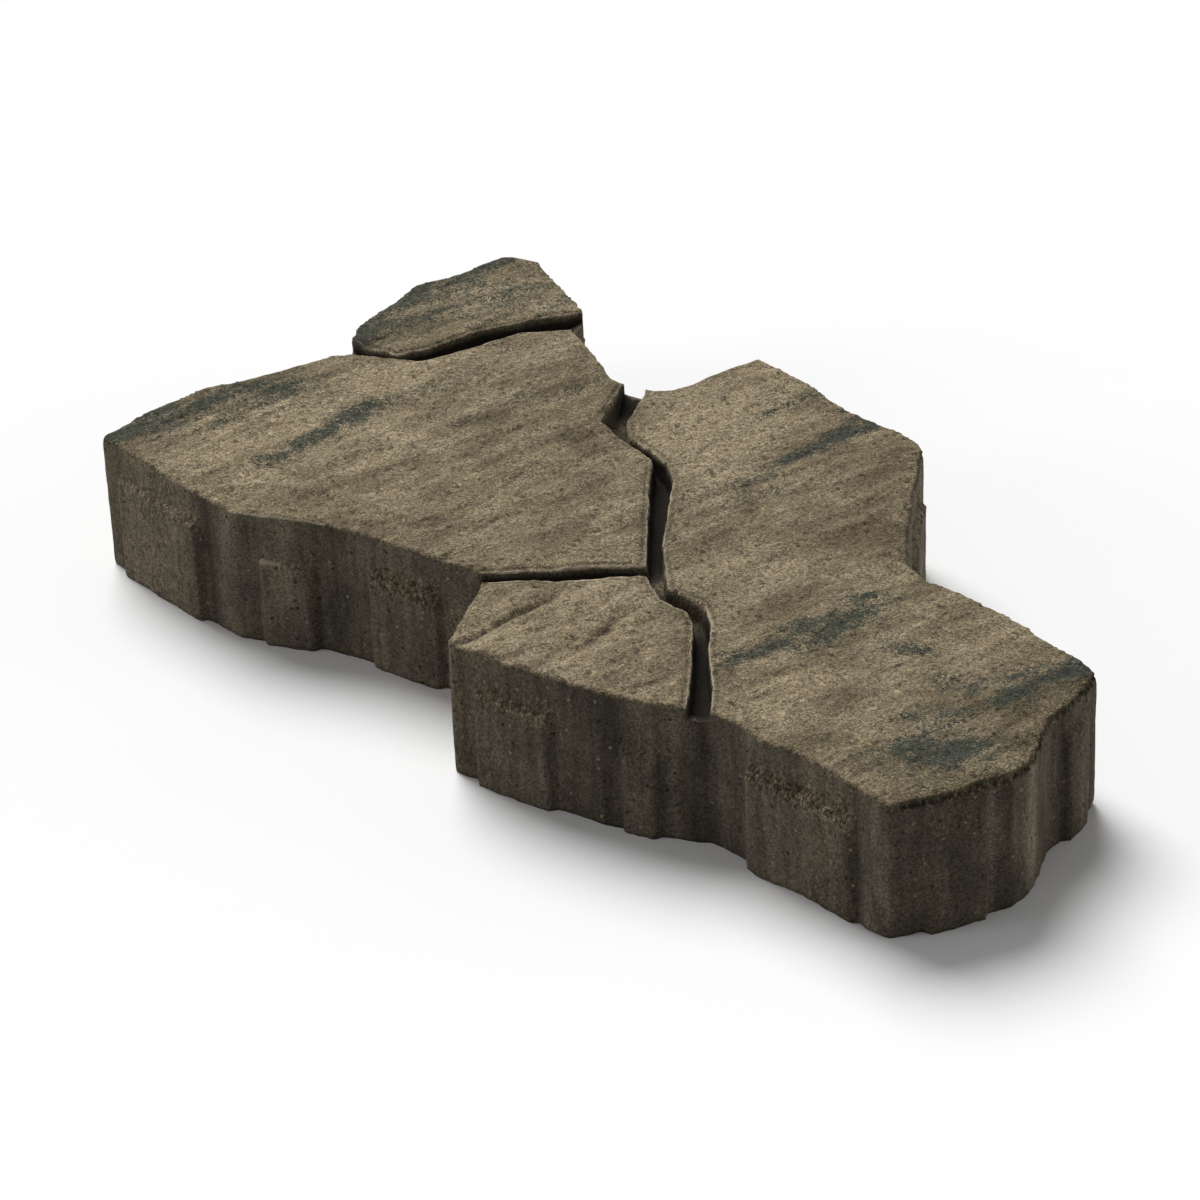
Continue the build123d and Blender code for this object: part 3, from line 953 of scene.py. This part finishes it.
    # Crumbly stretches: rounded crumbs painted lighter in their middles, with painted shade in the gaps
    # between them
    raked = board.add("ShaderNodeMapping", Vector=bent.outputs[0], Scale=(1, 1, 0.6))
    crumb = board.add("ShaderNodeTexVoronoi", Vector=raked.outputs[0], Scale=640.0)
    gaps = board.ramp(crumb.outputs["Distance"], 0.2, 0.8, 1.75, 0.45)
    crumbs = board.mix(1.0, board.mix(0.6, wall, sandy), board.grey(gaps), "MULTIPLY")
    wall = board.mix(board.ramp(rough, 0.0, 0.8), wall, crumbs)
    torn = board.plus(face, board.ramp(clumps, 0.3, 0.7, -0.25, 0.25))
    colour = board.mix(board.ramp(torn, 0.3, 0.7), wall, sandy)

    # Painted shade in the joints, pale burr and painted highlight where the lip mark is above zero, and
    # painted shade where it is below
    colour = board.mix(board.times(joint, 0.97), colour, (*looks.joint, 1))
    colour = board.mix(board.ramp(lip, 0.3, 0.7, 0.0, 0.85), colour, (*looks.lip, 1))
    # The painted shade is broken up by the crumbs' gaps
    hollow = board.ramp(crumb.outputs["Distance"], 0.2, 0.55, 0.35, 1.15)
    painted_shade = board.times(board.ramp(lip, -0.9, -0.1, 0.9, 0.0), hollow)
    colour = board.mix(painted_shade, colour, (*looks.joint, 1))

    # Relief finer than the mesh: rounded grains on the face, scores and pits on the walls
    grains = board.less(
        board.times(ripples, 2.3), board.times(sand.outputs["Distance"], 0.9),
        board.times(coarse.outputs["Distance"], 0.15),
    )
    grains = board.plus(grains, board.times(dust, 0.5))
    grains = board.less(grains, board.times(crumb.outputs["Distance"], rough, 1.5))
    scores = board.plus(board.times(drag, 0.9), board.times(clumps, 0.5), board.times(dust, 0.4))
    scores = board.less(scores, board.times(sand.outputs["Distance"], 0.35), board.times(pit, 1.2))
    sandiness = board.math("MAXIMUM", face, rough)
    height = board.add("ShaderNodeMix", {"data_type": "FLOAT"}, i0=sandiness, i2=scores, i3=grains)
    rise = board.ramp(rough, 0.0, 1.0, 0.0005, 0.0012)
    bump = board.add("ShaderNodeBump", Height=height.outputs[0], Strength=0.9, Distance=rise)
    shader = board.add("ShaderNodeBsdfPrincipled", Base_Color=colour, Roughness=0.92, Normal=bump.outputs[0])
    shader.inputs["Specular IOR Level"].default_value = 0.1
    board.add("ShaderNodeOutputMaterial", Surface=shader.outputs[0])
    return material


def floor_material(looks):
    """Pale floor: white to the camera, dimmer to light that bounces."""
    material = bpy.data.materials.new("studio_floor")
    board = NodeBoard(material)
    bounce = (FLOOR_BOUNCE, FLOOR_BOUNCE, FLOOR_BOUNCE, 1)
    colour = board.mix(board.seen_straight(), bounce, (*looks.floor_colour, 1))
    shader = board.add("ShaderNodeBsdfDiffuse", Color=colour)
    board.add("ShaderNodeOutputMaterial", Surface=shader.outputs[0])
    return material


def colour_property(name, description, default):
    """A colour shown in the sidebar."""
    return FloatVectorProperty(
        name=name, description=description, subtype="COLOR", size=3, default=default, min=0, max=1,
    )


class PaverLooks(bpy.types.PropertyGroup):
    """Colours and lights of the paver that a user would change."""

    face_light: colour_property("Face, light", "Light tan of the riven face", (0.322, 0.262, 0.170))
    face_dark: colour_property("Face, dark", "Dark brown of the riven face", (0.119, 0.091, 0.054))
    slate: colour_property("Slate", "Blue-green grey of the streaks", (0.046, 0.053, 0.041))
    wall_light: colour_property("Wall, light", "Lighter cement skin of the walls", (0.187, 0.156, 0.112))
    wall_dark: colour_property("Wall, dark", "Darker cement skin of the walls", (0.121, 0.102, 0.075))
    speck: colour_property("Specks", "Pale aggregate showing in the walls", (0.35, 0.295, 0.215))
    # Near-black colour painted on the joints' floors and deep walls for the shade in them, also used for
    # painted shade along edges and clefts
    joint: colour_property("Joint", "Floor of the false joints", (0.0148, 0.0124, 0.0094))
    # Pale colour of the burrs, and of the painted highlights on arrises and wall edges
    lip: colour_property("Lip", "Pale burr along the joints' edges", (0.50, 0.42, 0.30))
    floor_colour: colour_property("Floor", "Colour of the studio floor", (1.0, 1.0, 1.0))
    key_strength: FloatProperty(
        name="Key light", description="Strength of the soft light behind the unit", default=3.0, min=0,
    )
    side_strength: FloatProperty(
        name="Side light", description="Strength of the left light; the right has half", default=0.5, min=0,
    )
    sky_strength: FloatProperty(
        name="Sky light", description="Strength of the even light all round", default=0.19, min=0,
    )


class PAVER_OT_unit(bpy.types.Operator):
    """Build the concrete unit with its faces, joints and walls"""

    bl_idname = "paver.unit"
    bl_label = "Concrete unit"

    def execute(self, context):
        piece = mesh_from(build_skin(), "paver_unit")
        piece.data.materials.append(concrete_material(context.scene.paver_looks))
        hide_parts(PAVER_NODE)
        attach(piece, "root")
        return {"FINISHED"}


class PAVER_OT_stage(bpy.types.Operator):
    """Add the floor, the soft studio lights and the camera"""

    bl_idname = "paver.stage"
    bl_label = "Studio stage"

    def execute(self, context):
        scene = context.scene
        looks = scene.paver_looks
        mesh = bpy.data.meshes.new("studio_floor")
        half = FLOOR_HALF
        corners = [(-half, -half, 0), (half, -half, 0), (half, half, 0), (-half, half, 0)]
        mesh.from_pydata(corners, [], [(0, 1, 2, 3)])
        floor = bpy.data.objects.new("studio_floor", mesh)
        scene.collection.objects.link(floor)
        floor.data.materials.append(floor_material(looks))

        for name, place, softness, strength in (
            ("soft_key", KEY_PLACE, KEY_SOFTNESS, looks.key_strength),
            ("left_side", LEFT_PLACE, SIDE_SOFTNESS, looks.side_strength),
            ("right_side", RIGHT_PLACE, SIDE_SOFTNESS, looks.side_strength * RIGHT_SHARE),
        ):
            lamp = bpy.data.lights.new(name, "SUN")
            lamp.angle = radians(softness)
            lamp.energy = strength
            light = bpy.data.objects.new(name, lamp)
            light.location = place
            light.rotation_mode = "QUATERNION"
            light.rotation_quaternion = Vector(place).to_track_quat("Z", "Y")
            scene.collection.objects.link(light)

        world = bpy.data.worlds.new("studio_world")
        scene.world = world
        world.use_nodes = True
        board = NodeBoard(world)
        level = board.ramp(board.seen_straight(), 0.0, 1.0, looks.sky_strength, 1.0)
        sky = board.add("ShaderNodeBackground", Color=(1, 1, 1, 1), Strength=level)
        board.add("ShaderNodeOutputWorld", Surface=sky.outputs[0])

        scene.view_settings.view_transform = "Standard"
        scene.camera = photo_camera(scene)
        return {"FINISHED"}


def photo_camera(scene):
    """Make the camera at the photograph's solved place, pitch, roll and focal length."""
    pitch, roll = radians(CAMERA_PITCH), radians(CAMERA_ROLL)
    forward = Vector((0, cos(pitch), -sin(pitch)))
    level = Vector((1, 0, 0))
    upright = level.cross(forward)
    right = cos(roll) * level + sin(roll) * upright
    up = cos(roll) * upright - sin(roll) * level
    data = bpy.data.cameras.new("photo_camera")
    data.sensor_width = SENSOR_WIDTH
    data.lens = FOCAL_PIXELS / PHOTO_PIXELS * SENSOR_WIDTH
    data.clip_end = 20.0
    camera = bpy.data.objects.new("photo_camera", data)
    turn = Matrix((right, up, -forward)).transposed().to_4x4()
    camera.matrix_world = Matrix.Translation(Vector(CAMERA_TARGET) - forward * CAMERA_DISTANCE) @ turn
    scene.collection.objects.link(camera)
    return camera


class PAVER_PT_panel(bpy.types.Panel):
    """Lists the paver's steps and looks in the sidebar"""

    bl_idname = "PAVER_PT_panel"
    bl_label = "Flagstone Paver"
    bl_space_type = "VIEW_3D"
    bl_region_type = "UI"
    bl_category = "Paver"

    def draw(self, context):
        looks = context.scene.paver_looks
        for name in looks.bl_rna.properties.keys():
            if name not in ("rna_type", "name"):
                self.layout.prop(looks, name)
        for operator in OPERATORS:
            self.layout.operator(operator.bl_idname)


OPERATORS = (PAVER_OT_unit, PAVER_OT_stage)
CLASSES = (PaverLooks, *OPERATORS, PAVER_PT_panel)


def register():
    """Register the classes and the scene's looks."""
    for item in CLASSES:
        bpy.utils.register_class(item)
    bpy.types.Scene.paver_looks = PointerProperty(type=PaverLooks)


def unregister():
    """Remove the scene's looks and the classes."""
    del bpy.types.Scene.paver_looks
    for item in reversed(CLASSES):
        bpy.utils.unregister_class(item)


def main():
    register()
    bpy.ops.paver.unit()
    bpy.ops.paver.stage()


if __name__ == "__main__":
    main()
